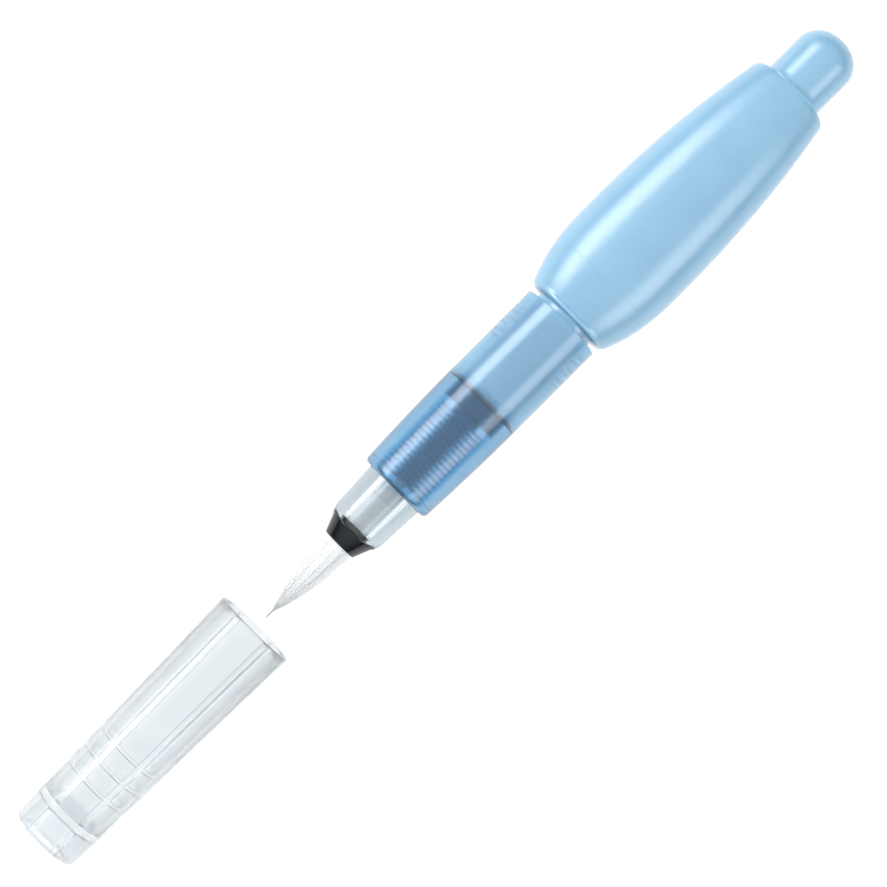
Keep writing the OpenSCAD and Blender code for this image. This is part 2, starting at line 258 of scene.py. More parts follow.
# Drawn nylon: milky white and silky, with light passing from bristle to bristle. The point
# keeps a trace of grey from use.
drawn_nylon, tree = new_finish("drawn_nylon_bristle")
coords = add(tree, "ShaderNodeTexCoord", {}, {})
stretch = add(tree, "ShaderNodeMapping", {}, {
    "Vector": coords.outputs["Object"], "Scale": (0.06, 1, 1)})
# Streaks one bristle wide, 0.2 mm
streak = add(tree, "ShaderNodeTexNoise", {}, {
    "Vector": stretch.outputs["Vector"], "Scale": 1 / (0.2 * MM), "Detail": 2.0})
tone = add(tree, "ShaderNodeMix", {"data_type": "RGBA"}, {
    "Factor": streak.outputs["Fac"], "A": linear("#F6F7F8"), "B": linear("#FFFFFF")})
where = add(tree, "ShaderNodeSeparateXYZ", {}, {"Vector": coords.outputs["Object"]})
from_point = add(tree, "ShaderNodeMapRange", {}, {
    "Value": where.outputs["X"], "From Min": (tip + 0.6) * MM, "From Max": (tip + 3) * MM})
stain = add(tree, "ShaderNodeMix", {"data_type": "RGBA"}, {
    "Factor": from_point.outputs["Result"], "A": linear("#4E5B66"), "B": tone.outputs["Result"]})
gloss = add(tree, "ShaderNodeMapRange", {}, {
    "Value": streak.outputs["Fac"], "To Min": 0.28, "To Max": 0.5})
grain = add(tree, "ShaderNodeBump", {}, {
    "Height": streak.outputs["Fac"], "Strength": 0.25, "Distance": 0.02 * MM})
nylon = add(tree, "ShaderNodeBsdfPrincipled", {}, {
    "Base Color": stain.outputs["Result"], "Roughness": gloss.outputs["Result"], "IOR": 1.53,
    "Normal": grain.outputs["Normal"], "Subsurface Weight": 0.6,
    "Subsurface Radius": (1.0, 1.0, 1.05), "Subsurface Scale": 0.5 * MM,
    "Sheen Weight": 0.1, "Sheen Roughness": 0.4})
add(tree, "ShaderNodeOutputMaterial", {}, {"Surface": nylon.outputs["BSDF"]})

# The outer layer of bristles, side by side, each running from the collar to its own end
points, faces = [], []
for i in range(strand_count):
    base_angle = 2 * math.pi * i / strand_count
    ends_at = tip + draw.choice((0.0, 0.3, 0.8, 1.4, 2.0, 2.6)) + draw.uniform(0, 0.4)
    lift = draw.uniform(-0.1, 0.1)
    sway = draw.uniform(-0.5, 0.5) * 2 * math.pi / strand_count
    rings = []
    for k in range(strand_rings):
        share = k / (strand_rings - 1)
        place = ends_at + (collar_front + held_in_collar - ends_at) * share
        around = tuft_radius(place - tip)
        thick = math.pi * around / strand_count * strand_overlap
        angle = base_angle + sway * math.sin(3 * share + i)
        centre = max(0.02, around - thick * (1 + lift))
        fine = thick * min(1, 0.1 + 6 * share)
        y, z = centre * math.sin(angle), -centre * math.cos(angle)
        rings.append([(place, y + fine * math.sin(a), AXIS_HEIGHT + z - fine * math.cos(a))
                      for a in even_angles(strand_sides)])
    strand_points, strand_faces = skin(rings, False)
    faces += [tuple(n + len(points) for n in face) for face in strand_faces]
    points += strand_points
add_piece("outer_bristles", points, faces, drawn_nylon, "front_body",
          ["bristle_tuft"])

# The core of the tuft and its welded root, which the outer bristles cover
core = []
for k in range(core_rings):
    out = core_start + (out_length - core_start) * k / (core_rings - 1)
    core.append((tip + out, tuft_radius(out) * (1 - 2.2 * math.pi / strand_count)))
core += [(collar_back + 0.2, root_d / 2 - weld_step), (collar_back + 0.5, root_d / 2 - 0.05),
         (collar_back + 0.8, root_d / 2), (root_end - weld_step, root_d / 2),
         (root_end, root_d / 2 - weld_step)]
points, faces = skin(turned_rings(core, even_angles(64)), False)
add_piece("welded_bristle_core", points, faces, drawn_nylon, "front_body",
          ["bristle_tuft"])

# ---- Tuft collar --------------------------------------------------------------------
# A small black cone, injection moulded and polished, slipped over the root of the tuft.
# Its thin sleeve is pushed into the front of the nose and holds the bristles round.


def rounded(corners, steps=4):
    """A closed outline from (place, radius, rounding) corners, each cut back by its
    rounding and joined by a curve."""
    outline = []
    for i, (x, r, cut) in enumerate(corners):
        if not cut:
            outline.append((x, r))
            continue
        corner = Vector((x, r))
        before = Vector(corners[i - 1][:2])
        after = Vector(corners[(i + 1) % len(corners)][:2])
        back, on = before - corner, after - corner
        start = corner + back.normalized() * min(cut, back.length * 0.49)
        end = corner + on.normalized() * min(cut, on.length * 0.49)
        for k in range(steps + 1):
            t = k / steps
            point = start * (1 - t) ** 2 + corner * 2 * t * (1 - t) + end * t ** 2
            outline.append((point.x, point.y))
    return outline


collar_length = 3.0
collar_sleeve_d = 6.06
collar_back_d = 8.4
collar_lip = 0.3
nose_bore_d = 4.66
cone_back = collar_front + collar_length
collar = rounded([
    (collar_front, tuft_d / 2 + 0.03, 0.06),
    (collar_front, tuft_d / 2 + collar_lip, 0.14),
    (cone_back, collar_back_d / 2, 0.12),
    (cone_back, collar_sleeve_d / 2, 0),
    (collar_back, collar_sleeve_d / 2, 0.1),
    (collar_back, nose_bore_d / 2, 0.1),
    (cone_back, nose_bore_d / 2, 0)])

# Polished black ABS: near black, with one crisp lengthwise glint.
polished_abs, tree = new_finish("polished_black_abs")
coords = add(tree, "ShaderNodeTexCoord", {}, {})
# Handling marks about half a millimetre across
marks = add(tree, "ShaderNodeTexNoise", {}, {
    "Vector": coords.outputs["Object"], "Scale": 1 / (0.5 * MM), "Detail": 4.0})
tone = add(tree, "ShaderNodeMix", {"data_type": "RGBA"}, {
    "Factor": marks.outputs["Fac"], "A": linear("#050608"), "B": linear("#0B0D10")})
gloss = add(tree, "ShaderNodeMapRange", {}, {
    "Value": marks.outputs["Fac"], "To Min": 0.12, "To Max": 0.24})
waves = add(tree, "ShaderNodeBump", {}, {
    "Height": marks.outputs["Fac"], "Strength": 0.15, "Distance": 0.01 * MM})
black = add(tree, "ShaderNodeBsdfPrincipled", {}, {
    "Base Color": tone.outputs["Result"], "Roughness": gloss.outputs["Result"], "IOR": 1.54,
    "Normal": waves.outputs["Normal"]})
add(tree, "ShaderNodeOutputMaterial", {}, {"Surface": black.outputs["BSDF"]})
points, faces = skin(turned_rings(collar, even_angles(96)), True)
add_piece("black_collar", points, faces, polished_abs, "front_body",
          ["tuft_collar"])

# ---- Brush nose ---------------------------------------------------------------------
# The nose is one thick-walled, crystal-clear moulding. Its bore holds the root of the
# tuft, and its spigot is pushed into the front of the grip.
nose_front, nose_end = span("brush_nose")
grip_front, grip_back = span("grip_section")
nose_lip_d = 8.8
nose_cone = (1.4, 9.7)
nose_d = 10.6
nose_spigot_d = 9.6
nose = rounded([
    (collar_back, nose_bore_d / 2, 0.08),
    (collar_back, collar_sleeve_d / 2 + 0.03, 0.05),
    (nose_front, collar_sleeve_d / 2 + 0.03, 0.05),
    (nose_front, nose_lip_d / 2, 0.12),
    (nose_front + nose_cone[0], nose_cone[1] / 2, 0.5),
    (grip_front, nose_d / 2, 0.1),
    (grip_front, nose_spigot_d / 2, 0),
    (nose_end, nose_spigot_d / 2, 0.2),
    (nose_end, nose_bore_d / 2, 0.08)])

# Styrene acrylonitrile with a trace of smoke, moulded in a polished tool: bright, with a
# faint slate tint along its sides, where the eye looks through most of its thick wall.
clear_san, tree = new_finish("polished_clear_san")
coords = add(tree, "ShaderNodeTexCoord", {}, {})
# Flow marks from moulding, about 3 mm long
flow = add(tree, "ShaderNodeTexNoise", {}, {
    "Vector": coords.outputs["Object"], "Scale": 1 / (3 * MM), "Detail": 2.0})
gloss = add(tree, "ShaderNodeMapRange", {}, {
    "Value": flow.outputs["Fac"], "To Min": 0.0, "To Max": 0.05})
tone = add(tree, "ShaderNodeMix", {"data_type": "RGBA"}, {
    "Factor": flow.outputs["Fac"], "A": linear("#F4F9FB"), "B": linear("#FFFFFF")})
waves = add(tree, "ShaderNodeBump", {}, {
    "Height": flow.outputs["Fac"], "Strength": 0.12, "Distance": 0.05 * MM})
clear = add(tree, "ShaderNodeBsdfPrincipled", {}, {
    "Base Color": tone.outputs["Result"], "Roughness": gloss.outputs["Result"], "IOR": 1.57,
    "Normal": waves.outputs["Normal"], "Transmission Weight": 1.0})
depth = add(tree, "ShaderNodeVolumeAbsorption", {}, {
    "Color": linear("#6F98AB"), "Density": 85.0})
add(tree, "ShaderNodeOutputMaterial", {}, {
    "Surface": clear.outputs["BSDF"], "Volume": depth.outputs["Volume"]})
points, faces = skin(turned_rings(nose, even_angles(128)), True)
add_piece("clear_nose", points, faces, clear_san, "front_body",
          ["brush_nose"])

# ---- Feed wick ----------------------------------------------------------------------
# A rod of bonded polyester fibre that draws water from the reservoir to the bristles.
# Its thick head is pushed against the root of the tuft and shows white in the nose.
wick_front, wick_end = span("feed_wick")
wick_head_length = 2.4
wick_d = 1.8
wick = rounded([
    (wick_front + 0.02, 0.05, 0),
    (wick_front + 0.02, root_d / 2, 0.2),
    (wick_front + wick_head_length, root_d / 2, 0.2),
    (wick_front + wick_head_length, wick_d / 2, 0),
    (wick_end, wick_d / 2, 0.1),
    (wick_end, 0.05, 0)])

# Bonded polyester fibre: chalk white and matt, with fibres running along the rod.
bonded_fibre, tree = new_finish("bonded_polyester_fibre")
coords = add(tree, "ShaderNodeTexCoord", {}, {})
along = add(tree, "ShaderNodeMapping", {}, {
    "Vector": coords.outputs["Object"], "Scale": (0.1, 1, 1)})
# Real fibres are 0.02 mm thick, drawn at 0.12 mm so that they show
fibres = add(tree, "ShaderNodeTexNoise", {}, {
    "Vector": along.outputs["Vector"], "Scale": 1 / (0.12 * MM), "Detail": 3.0})
tone = add(tree, "ShaderNodeMix", {"data_type": "RGBA"}, {
    "Factor": fibres.outputs["Fac"], "A": linear("#E4E9EC"), "B": linear("#FFFFFF")})
fuzz = add(tree, "ShaderNodeBump", {}, {
    "Height": fibres.outputs["Fac"], "Strength": 0.5, "Distance": 0.04 * MM})
felt = add(tree, "ShaderNodeBsdfPrincipled", {}, {
    "Base Color": tone.outputs["Result"], "Roughness": 0.9, "Specular IOR Level": 0.2,
    "Normal": fuzz.outputs["Normal"], "Sheen Weight": 0.2, "Sheen Roughness": 0.5})
add(tree, "ShaderNodeOutputMaterial", {}, {"Surface": felt.outputs["BSDF"]})
points, faces = skin(turned_rings(wick, even_angles(64)), False)
add_piece("fibre_wick", points, faces, bonded_fibre, "front_body", ["feed_wick"])

# ---- Finned collector ---------------------------------------------------------------
# A comb of thin fins on a tube, moulded in one piece. Water that rises when the pen warms
# up is held between the fins. A slot through their undersides lets air past.
comb_front, comb_end = span("finned_collector")
plug_front, plug_end = span("valve_plug")
fin_d = 9.2
fin_pitch = 0.88
fin_thickness = 0.4
tube_d = 3.5
shoulder_d = 5.1
fin_count = 16
slot_half_angle = math.radians(3.2)
slot_near, slot_far = slot_half_angle * 0.97, slot_half_angle * 1.03
comb_steps = 90
comb = [(comb_front, wick_d / 2 + 0.03, 0.05)]
for i in range(fin_count):
    fin_at = comb_front + i * fin_pitch
    foot_d = shoulder_d if i == fin_count - 1 else tube_d
    comb += [(fin_at, tube_d / 2, 0), (fin_at, fin_d / 2, 0.06),
             (fin_at + fin_thickness, fin_d / 2, 0.06), (fin_at + fin_thickness, foot_d / 2, 0)]
comb += [(plug_front, shoulder_d / 2, 0.08), (plug_front, tube_d / 2, 0),
         (comb_end, tube_d / 2, 0.12), (comb_end, wick_d / 2 + 0.03, 0.05)]


def slotted(place, radius, angle):
    """Cuts the fins down to the shoulder over the air slot, which points at the table."""
    from_slot = min(angle, 2 * math.pi - angle)
    return min(radius, shoulder_d / 2) if from_slot < slot_half_angle else radius


# Two points close together on each side of the slot keep its walls upright
comb_angles = [0, slot_near, slot_far]
comb_angles += [slot_far + 2 * (math.pi - slot_far) * i / comb_steps
                for i in range(1, comb_steps + 1)]
comb_angles += [2 * math.pi - slot_near]

# Moulded ABS, slate blue and satin, which takes a thin bright edge on every fin.
slate_abs, tree = new_finish("moulded_slate_blue_abs")
coords = add(tree, "ShaderNodeTexCoord", {}, {})
# Grain of the tool's spark-eroded surface, 0.1 mm
spark = add(tree, "ShaderNodeTexNoise", {}, {
    "Vector": coords.outputs["Object"], "Scale": 1 / (0.1 * MM), "Detail": 3.0})
tone = add(tree, "ShaderNodeMix", {"data_type": "RGBA"}, {
    "Factor": spark.outputs["Fac"], "A": linear("#2A7FA8"), "B": linear("#368CB5")})
gloss = add(tree, "ShaderNodeMapRange", {}, {
    "Value": spark.outputs["Fac"], "To Min": 0.3, "To Max": 0.45})
pits = add(tree, "ShaderNodeBump", {}, {
    "Height": spark.outputs["Fac"], "Strength": 0.2, "Distance": 0.01 * MM})
slate = add(tree, "ShaderNodeBsdfPrincipled", {}, {
    "Base Color": tone.outputs["Result"], "Roughness": gloss.outputs["Result"], "IOR": 1.54,
    "Normal": pits.outputs["Normal"], "Subsurface Weight": 0.3,
    "Subsurface Radius": (0.5, 0.8, 1.0), "Subsurface Scale": 0.5 * MM})
add(tree, "ShaderNodeOutputMaterial", {}, {"Surface": slate.outputs["BSDF"]})
points, faces = skin(turned_rings(rounded(comb, 2), comb_angles, slotted), True)
add_piece("comb_collector", points, faces, slate_abs, "front_body",
          ["finned_collector"])

# ---- Valve plug ---------------------------------------------------------------------
# A dark flanged plug, pushed into the back of the grip's chamber round the collector's
# tube. Its pilot reaches into the mouth of the reservoir.
seal_front, seal_end = span("mouth_seal_ring")
plug_d = 10.44
pilot_d = 8.9
plug_hole_d = 3.56
plug = rounded([
    (plug_front, plug_hole_d / 2, 0.08),
    (plug_front, plug_d / 2, 0.2),
    (seal_front, plug_d / 2, 0.12),
    (seal_front, pilot_d / 2, 0),
    (plug_end, pilot_d / 2, 0.3),
    (plug_end, plug_hole_d / 2, 0.08)])

# Moulded polypropylene in dark petrol blue: satin, with a soft waxy edge.
petrol_pp, tree = new_finish("moulded_petrol_polypropylene")
coords = add(tree, "ShaderNodeTexCoord", {}, {})
# Sink marks about 1 mm across
sinks = add(tree, "ShaderNodeTexNoise", {}, {
    "Vector": coords.outputs["Object"], "Scale": 1 / (1 * MM), "Detail": 3.0})
tone = add(tree, "ShaderNodeMix", {"data_type": "RGBA"}, {
    "Factor": sinks.outputs["Fac"], "A": linear("#0C4A69"), "B": linear("#135574")})
gloss = add(tree, "ShaderNodeMapRange", {}, {
    "Value": sinks.outputs["Fac"], "To Min": 0.3, "To Max": 0.42})
dimples = add(tree, "ShaderNodeBump", {}, {
    "Height": sinks.outputs["Fac"], "Strength": 0.2, "Distance": 0.02 * MM})
petrol = add(tree, "ShaderNodeBsdfPrincipled", {}, {
    "Base Color": tone.outputs["Result"], "Roughness": gloss.outputs["Result"], "IOR": 1.49,
    "Normal": dimples.outputs["Normal"]})
add(tree, "ShaderNodeOutputMaterial", {}, {"Surface": petrol.outputs["BSDF"]})
points, faces = skin(turned_rings(plug, even_angles(96)), True)
add_piece("flanged_plug", points, faces, petrol_pp, "front_body",
          ["valve_plug"])

# ---- Mouth seal ring ----------------------------------------------------------------
# A flat ring stamped from rubber sheet. The thread pinches it between the shoulder in
# the grip and the rim of the reservoir's neck, and its dark edge shows through the grip.
seal_d = 12.58
seal_hole_d = 9.02
seal = rounded([
    (seal_front, seal_hole_d / 2, 0.08), (seal_front, seal_d / 2, 0.12),
    (seal_end, seal_d / 2, 0.12), (seal_end, seal_hole_d / 2, 0.08)])

# Nitrile rubber: matt blue-black, faintly grained from the sheet it was cut from.
nitrile_rubber, tree = new_finish("stamped_nitrile_rubber")
coords = add(tree, "ShaderNodeTexCoord", {}, {})
# Talc grain, 0.15 mm
talc = add(tree, "ShaderNodeTexNoise", {}, {
    "Vector": coords.outputs["Object"], "Scale": 1 / (0.15 * MM), "Detail": 4.0})
tone = add(tree, "ShaderNodeMix", {"data_type": "RGBA"}, {
    "Factor": talc.outputs["Fac"], "A": linear("#101C26"), "B": linear("#1C2B37")})
gloss = add(tree, "ShaderNodeMapRange", {}, {
    "Value": talc.outputs["Fac"], "To Min": 0.55, "To Max": 0.75})
skin_grain = add(tree, "ShaderNodeBump", {}, {
    "Height": talc.outputs["Fac"], "Strength": 0.3, "Distance": 0.02 * MM})
rubber = add(tree, "ShaderNodeBsdfPrincipled", {}, {
    "Base Color": tone.outputs["Result"], "Roughness": gloss.outputs["Result"], "IOR": 1.52,
    "Normal": skin_grain.outputs["Normal"]})
add(tree, "ShaderNodeOutputMaterial", {}, {"Surface": rubber.outputs["BSDF"]})
points, faces = skin(turned_rings(seal, even_angles(96)), True)
add_piece("rubber_seal", points, faces, nitrile_rubber, "seal_body",
          ["mouth_seal_ring"])

# ---- Grip section -------------------------------------------------------------------
# The grip is one smoky clear moulding: a chamber for the collector in front, and behind
# it a thin sleeve with a screw ridge inside, which screws over the reservoir's neck.
chamber_front = nose_end
chamber_d = 10.5
grip_front_d = 13.2
sleeve_d = 14.2
sleeve_bore_d = 12.7
thread_pitch = 2.4
ridge_foot = 1.25
ridge_crest = 0.65
sleeve_ridge_height = 0.6
sleeve_ridge_turns = 3
sleeve_lip = 2
sleeve_ridge_at = grip_back - sleeve_lip - sleeve_ridge_turns * thread_pitch
grip_edge_r = 0.9
thread_row = 0.12


def ridge_height(place, angle, start, phase, turns, height):
    """How far a screw ridge stands out of its wall at a place and an angle. The ridge
    advances by the pitch in each turn and fades out at both ends."""
    part = (angle - phase) / (2 * math.pi) % 1
    turn = round((place - start) / thread_pitch - part) + part
    if not 0 <= turn <= turns:
        turn = min(max(turn, part), math.floor(turns - part) + part)
    off = abs(place - start - turn * thread_pitch)
    flank = (ridge_foot / 2 - off) / (ridge_foot - ridge_crest) * 2
    fade = min(1, 0.1 + min(turn, turns - turn) * 6)
    return height * fade * max(0, min(1, flank))


def straight(from_place, to_place, radius, step):
    """Points along a wall of one radius, about a step apart, without its two ends."""
    count = max(1, round(abs(to_place - from_place) / step))
    return [(from_place + (to_place - from_place) * k / count, radius) for k in range(1, count)]


def in_sleeve(place, radius, angle):
    """Raises the screw ridge out of the sleeve's bore."""
    if abs(radius - sleeve_bore_d / 2) > 0.001 or place < seal_end + 0.3:
        return radius
    return radius - ridge_height(place, angle, sleeve_ridge_at, 0,
                                 sleeve_ridge_turns, sleeve_ridge_height)


swell_start = grip_front + grip_edge_r
swell = [(swell_start + (seal_front - swell_start) * k / 14,
          (grip_front_d + (sleeve_d - grip_front_d) * math.sin(math.pi / 2 * k / 14)) / 2)
         for k in range(15)]
front_curve = [(swell_start - grip_edge_r * math.cos(math.radians(a)),
                grip_front_d / 2 - grip_edge_r + grip_edge_r * math.sin(math.radians(a)))
               for a in range(0, 90, 10)]
front_bore_d = nose_spigot_d + 0.06
grip = front_curve + swell
grip += rounded([swell[-1] + (0,), (grip_back, sleeve_d / 2, 0.2),
                 (grip_back, sleeve_bore_d / 2, 0.15), (seal_end, sleeve_bore_d / 2, 0)])[1:-1]
grip += straight(grip_back - 0.15, seal_end + 0.3, sleeve_bore_d / 2, thread_row)
grip += rounded([(grip_back, sleeve_bore_d / 2, 0), (seal_front, sleeve_bore_d / 2, 0.1),
                 (seal_front, chamber_d / 2, 0.1), (chamber_front, chamber_d / 2, 0.15),
                 (chamber_front, front_bore_d / 2, 0.05), (grip_front, front_bore_d / 2, 0.05),
                 (grip_front, grip_front_d / 2 - grip_edge_r, 0)])[1:-1]

# Tinted styrene acrylonitrile: clear, with a smoky blue that deepens where the eye looks
# through more of the wall. The unscrewing core leaves the sleeve milkier than the chamber.
smoky_san, tree = new_finish("smoky_blue_clear_san")
coords = add(tree, "ShaderNodeTexCoord", {}, {})
# Flow marks from moulding, about 4 mm long
flow = add(tree, "ShaderNodeTexNoise", {}, {
    "Vector": coords.outputs["Object"], "Scale": 1 / (4 * MM), "Detail": 2.0})
gloss = add(tree, "ShaderNodeMapRange", {}, {
    "Value": flow.outputs["Fac"], "To Min": 0.16, "To Max": 0.24})
tone = add(tree, "ShaderNodeMix", {"data_type": "RGBA"}, {
    "Factor": flow.outputs["Fac"], "A": linear("#B2E1FA"), "B": linear("#BEE9FF")})
waves = add(tree, "ShaderNodeBump", {}, {
    "Height": flow.outputs["Fac"], "Strength": 0.1, "Distance": 0.05 * MM})
where = add(tree, "ShaderNodeSeparateXYZ", {}, {"Vector": coords.outputs["Object"]})
milk = add(tree, "ShaderNodeMapRange", {}, {
    "Value": where.outputs["X"], "From Min": seal_front * MM, "From Max": (seal_front + 2) * MM,
    "To Min": 0.95, "To Max": 0.7})
smoky = add(tree, "ShaderNodeBsdfPrincipled", {}, {
    "Base Color": tone.outputs["Result"], "Roughness": gloss.outputs["Result"], "IOR": 1.57,
    "Normal": waves.outputs["Normal"], "Transmission Weight": milk.outputs["Result"]})
depth = add(tree, "ShaderNodeVolumeAbsorption", {}, {
    "Color": linear("#6FB4D6"), "Density": 200.0})
add(tree, "ShaderNodeOutputMaterial", {}, {
    "Surface": smoky.outputs["BSDF"], "Volume": depth.outputs["Volume"]})
points, faces = skin(turned_rings(grip, even_angles(128), in_sleeve), True)
add_piece("smoky_grip", points, faces, smoky_san, "front_body",
          ["grip_section"])

# ---- Reservoir ----------------------------------------------------------------------
# The reservoir is blow moulded from soft polyethylene in one hollow piece: a threaded
# neck, a flattened bulb that the fingers squeeze, and a round nub at the tail.
neck_front, tail_end = span("reservoir")
bulb_low, bulb_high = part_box("reservoir")
neck_d = 11.1
neck_bore_d = 9.5
neck_ridge_height = 0.6
neck_ridge_turns = 3.25
neck_ridge_back = 4.4
neck_ridge_at = grip_back - neck_ridge_back - neck_ridge_turns * thread_pitch
neck_ridge_phase = math.pi / 2
neck_gap = 1.1
bulb_front = grip_back + neck_gap
bulb_length = 50.8
bulb_back = bulb_front + bulb_length
belly_at = 15
bulb_width = (bulb_high.y - bulb_low.y) / MM
bulb_thickness = (bulb_high.z - bulb_low.z) / MM
bulb_front_width = 15.0
bulb_tail_width = 14.9
bulb_wall = 0.9
bulb_edge_r = 1.3
nub_d = 10.6
nub_end_r = 3.9
nub_dome = 0.5
# A faint groove round the front of the bulb, left by a joint in the mould
mark_at = bulb_front + 7.8
mark_depth = 0.07
mark_half_width = 0.25
ROUND = 1.0
FLAT = bulb_thickness / bulb_width


def on_neck(place, radius, angle):
    """Raises the screw ridge out of the neck."""
    if abs(radius - neck_d / 2) > 0.001:
        return radius
    return radius + ridge_height(place, angle, neck_ridge_at, neck_ridge_phase,
                                 neck_ridge_turns, neck_ridge_height)


def bulb_half_width(place):
    """Half the width of the bulb at a place between its front and its tail."""
    share = (place - bulb_front) / belly_at
    if share < 1:
        lost = (bulb_width - bulb_front_width) * (1 - share) ** 2.5
    else:
        share = (place - bulb_front - belly_at) / (bulb_length - belly_at - bulb_edge_r)
        lost = (bulb_width - bulb_tail_width) * share ** 2.2
    width = (bulb_width - lost) / 2
    return width - mark_depth * max(0, 1 - abs(place - mark_at) / mark_half_width)


# The outside, from the rim of the neck to the tip of the nub: place, half width, flatness
outside = [(neck_front, neck_d / 2 - 0.15, ROUND), (neck_front + 0.15, neck_d / 2, ROUND)]
outside += [(x, r, ROUND) for x, r in
            straight(neck_front + 0.15, bulb_front - 0.3, neck_d / 2, thread_row)]
shoulder_r = 0.9
outside += [(bulb_front - 0.25, neck_d / 2 + 0.02, ROUND),
            (bulb_front - 0.08, neck_d / 2 + 0.14, 0.99),
            (bulb_front, neck_d / 2 + 0.45, 0.95)]
for k in range(8):
    turn = math.radians(90 * k / 7)
    place = bulb_front + shoulder_r * (1 - math.cos(turn))
    outside.append((place + 0.02, bulb_half_width(place) - shoulder_r * (1 - math.sin(turn)),
                    FLAT + 0.12 * math.cos(turn)))
bulb_places = [bulb_front + 1.2 + k * 0.9 for k in range(7)]
bulb_places += [mark_at + d for d in (-0.3, -0.15, 0, 0.15, 0.3)]
bulb_places += [mark_at + 1 + (bulb_back - bulb_edge_r - mark_at - 1.3) * k / 40
                for k in range(41)]
outside += [(x, bulb_half_width(x), FLAT) for x in bulb_places]
tail_r = bulb_tail_width / 2
for k in range(1, 9):
    turn = math.radians(90 * k / 8)
    outside.append((bulb_back - bulb_edge_r + bulb_edge_r * math.sin(turn),
                    tail_r - bulb_edge_r + bulb_edge_r * math.cos(turn),
                    FLAT + (0.97 - FLAT) * (1 - math.cos(turn)) ** 2))
outside += [(bulb_back + 0.02, nub_d / 2 + 0.35, 0.98), (bulb_back + 0.1, nub_d / 2 + 0.12, 0.99),
            (bulb_back + 0.3, nub_d / 2, ROUND)]
nub_round_at = tail_end - nub_dome - nub_end_r
outside += [(x, r, ROUND) for x, r in straight(bulb_back + 0.3, nub_round_at, nub_d / 2, 1.0)]
for k in range(13):
    turn = math.radians(90 * k / 12)
    outside.append((nub_round_at + nub_end_r * math.sin(turn) + nub_dome * (k / 12) ** 3 * 0.55,
                    nub_d / 2 - nub_end_r + nub_end_r * math.cos(turn), ROUND))
for share in (0.75, 0.5, 0.25, 0.08):
    flat_r = nub_d / 2 - nub_end_r
    outside.append((tail_end - nub_dome * 0.45 * share ** 2, flat_r * share, ROUND))

# The inside, back from the tail to the rim of the neck
inside = [(tail_end - bulb_wall, 0.1, ROUND), (tail_end - bulb_wall - 0.1, 1.0, ROUND)]
inner_r = nub_end_r - bulb_wall
for k in range(10, -1, -1):
    turn = math.radians(90 * k / 10)
    inside.append((nub_round_at + inner_r * math.sin(turn),
                   nub_d / 2 - nub_end_r + inner_r * math.cos(turn), ROUND))
inside += [(bulb_back - bulb_wall + 0.1, nub_d / 2 - bulb_wall, ROUND),
           (bulb_back - bulb_wall - 0.1, nub_d / 2 - bulb_wall + 0.3, 0.95),
           (bulb_back - bulb_wall - 0.3, tail_r - bulb_wall - 0.5, FLAT)]
inner_places = [bulb_front + bulb_wall + 0.5 + (bulb_length - 2 * bulb_wall - 1.6) * k / 30
                for k in range(30, -1, -1)]
inside += [(x, bulb_half_width(x) - bulb_wall, FLAT) for x in inner_places]
inside += [(bulb_front + bulb_wall + 0.1, neck_bore_d / 2 + 1.0, 0.9),
           (bulb_front + bulb_wall, neck_bore_d / 2 + 0.2, 0.98),
           (bulb_front + bulb_wall - 0.3, neck_bore_d / 2, ROUND),
           (neck_front + 0.1, neck_bore_d / 2, ROUND), (neck_front, neck_bore_d / 2 + 0.1, ROUND)]
rings = []
for place, half_width, flatness in outside + inside:
    ring = []
    for angle in even_angles(128):
        r = on_neck(place, half_width, angle)
        ring.append((place, r * math.sin(angle),
                     AXIS_HEIGHT - r * flatness * math.cos(angle)))
    rings.append(ring)

# Blown low-density polyethylene, dyed light blue: satin and waxy, and light soaks into
# its wall, so that its shades stay soft. Fine grain, with broad uneven patches of gloss.
blue_ldpe, tree = new_finish("blown_light_blue_polyethylene")
coords = add(tree, "ShaderNodeTexCoord", {}, {})
# Matt grain of the sand-blasted mould, 0.12 mm
grit = add(tree, "ShaderNodeTexNoise", {}, {
    "Vector": coords.outputs["Object"], "Scale": 1 / (0.12 * MM), "Detail": 2.0})
# Cloudy patches about 8 mm across, where the wall is a little thicker or thinner
cloud = add(tree, "ShaderNodeTexNoise", {}, {
    "Vector": coords.outputs["Object"], "Scale": 1 / (8 * MM), "Detail": 2.0})
tone = add(tree, "ShaderNodeMix", {"data_type": "RGBA"}, {
    "Factor": cloud.outputs["Fac"], "A": linear("#7FABC6"), "B": linear("#89B5CE")})
gloss = add(tree, "ShaderNodeMapRange", {}, {
    "Value": cloud.outputs["Fac"], "To Min": 0.32, "To Max": 0.42})
grain = add(tree, "ShaderNodeBump", {}, {
    "Height": grit.outputs["Fac"], "Strength": 0.12, "Distance": 0.01 * MM})
wax = add(tree, "ShaderNodeBsdfPrincipled", {}, {
    "Base Color": tone.outputs["Result"], "Roughness": gloss.outputs["Result"], "IOR": 1.51,
    "Normal": grain.outputs["Normal"], "Subsurface Weight": 0.7,
    "Subsurface Radius": (0.6, 0.9, 1.0), "Subsurface Scale": 1.2 * MM,
    "Coat Weight": 1.0, "Coat Roughness": 0.25, "Coat IOR": 1.51})
add(tree, "ShaderNodeOutputMaterial", {}, {"Surface": wax.outputs["BSDF"]})
points, faces = skin(rings, True)
add_piece("squeeze_reservoir", points, faces, blue_ldpe, "reservoir_body",
          ["reservoir"])

